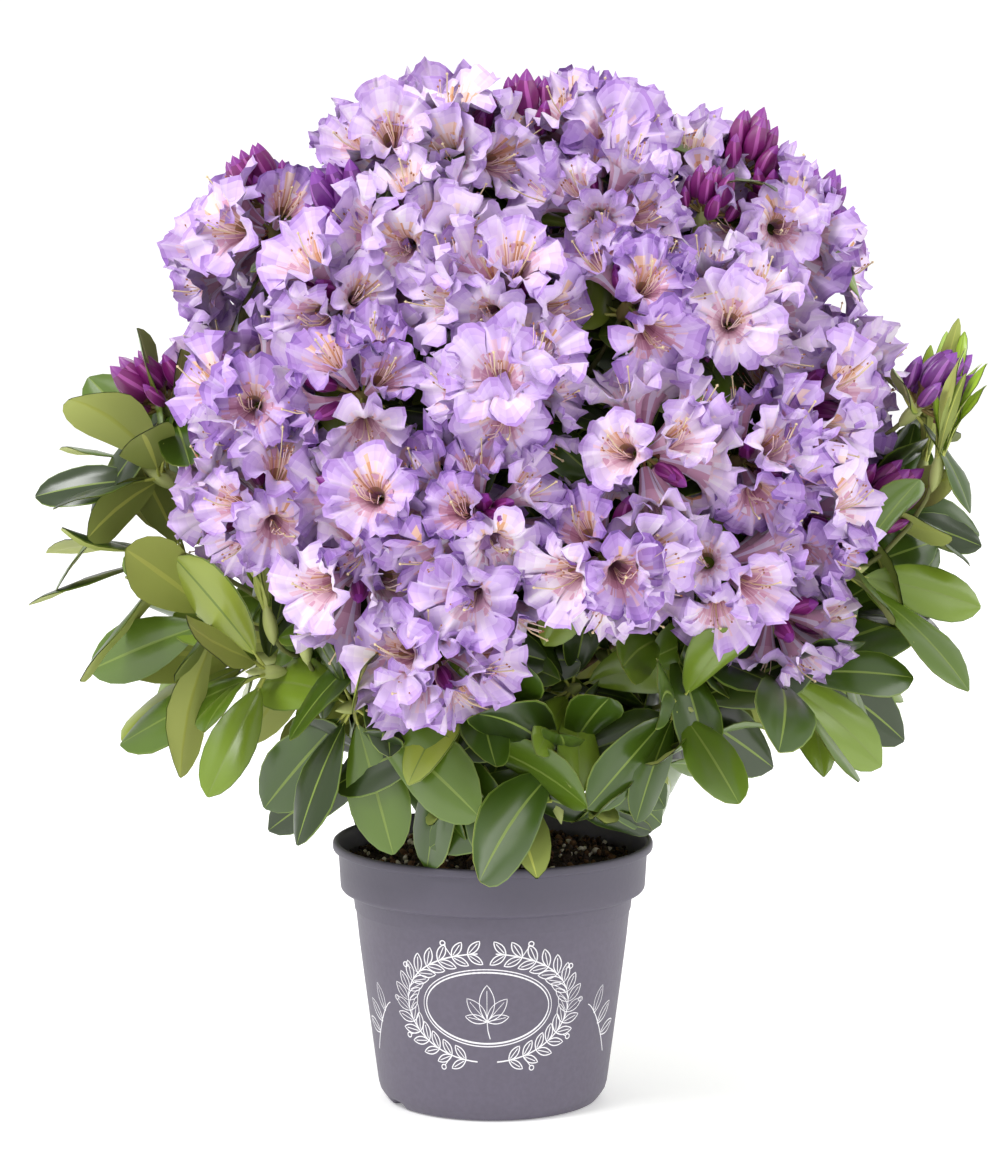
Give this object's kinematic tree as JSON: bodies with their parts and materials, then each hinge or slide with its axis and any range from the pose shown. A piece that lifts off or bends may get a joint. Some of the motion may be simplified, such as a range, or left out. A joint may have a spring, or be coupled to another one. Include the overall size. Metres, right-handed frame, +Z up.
{
  "type": "potted rhododendron",
  "caption": "Evergreen rhododendron shrub in full lilac flower, with its compost and round plastic nursery pot.",
  "frame": {"origin": "centre of the pot's flat underside", "axes": "+Z up; the front of the plant faces -Y, and +X is to the right seen from the front"},
  "size_m": [0.6702, 0.5465, 0.7445],
  "materials": {
    "pot_plastic": "satin",
    "compost": "matte",
    "bark": "matte",
    "blossom": "satin",
    "leaves": "semi-gloss"
  },
  "bodies": {
    "root": {"bough_back_left": "bark", "bough_back_left_side": "bark", "bough_back_left_skirt": "bark", "bough_back_mid_left": "bark", "bough_back_mid_right": "bark", "bough_back_right": "bark", "bough_back_right_side": "bark", "bough_back_right_skirt": "bark", "bough_back_skirt": "bark", "bough_front_middle": "bark", "bough_front_right_skirt": "bark", "bough_front_skirt": "bark", "bough_left_front": "bark", "bough_left_shoulder": "bark", "bough_left_skirt": "bark", "bough_low_front": "bark", "bough_low_front_right": "bark", "bough_right_front": "bark", "bough_right_middle": "bark", "bough_right_shoulder": "bark", "bough_right_skirt": "bark", "bough_right_upper": "bark", "bough_top_left": "bark", "bough_top_right": "bark", "bough_upper_front": "bark", "bough_upper_left": "bark", "compost": "compost", "foliage_back_left": "blossom", "foliage_back_left_side": "blossom", "foliage_back_left_skirt": "leaves", "foliage_back_mid_left": "blossom", "foliage_back_mid_right": "blossom", "foliage_back_right": "blossom", "foliage_back_right_side": "blossom", "foliage_back_right_skirt": "leaves", "foliage_back_skirt": "leaves", "foliage_front_middle": "blossom", "foliage_front_right_skirt": "leaves", "foliage_front_skirt": "leaves", "foliage_left_front": "blossom", "foliage_left_shoulder": "blossom", "foliage_left_skirt": "leaves", "foliage_low_front": "blossom", "foliage_low_front_right": "blossom", "foliage_right_front": "blossom", "foliage_right_middle": "blossom", "foliage_right_shoulder": "blossom", "foliage_right_skirt": "leaves", "foliage_right_upper": "blossom", "foliage_top_left": "blossom", "foliage_top_right": "blossom", "foliage_upper_front": "blossom", "foliage_upper_left": "blossom", "pot": "pot_plastic", "trunk": "bark"}
  },
  "joints": []
}
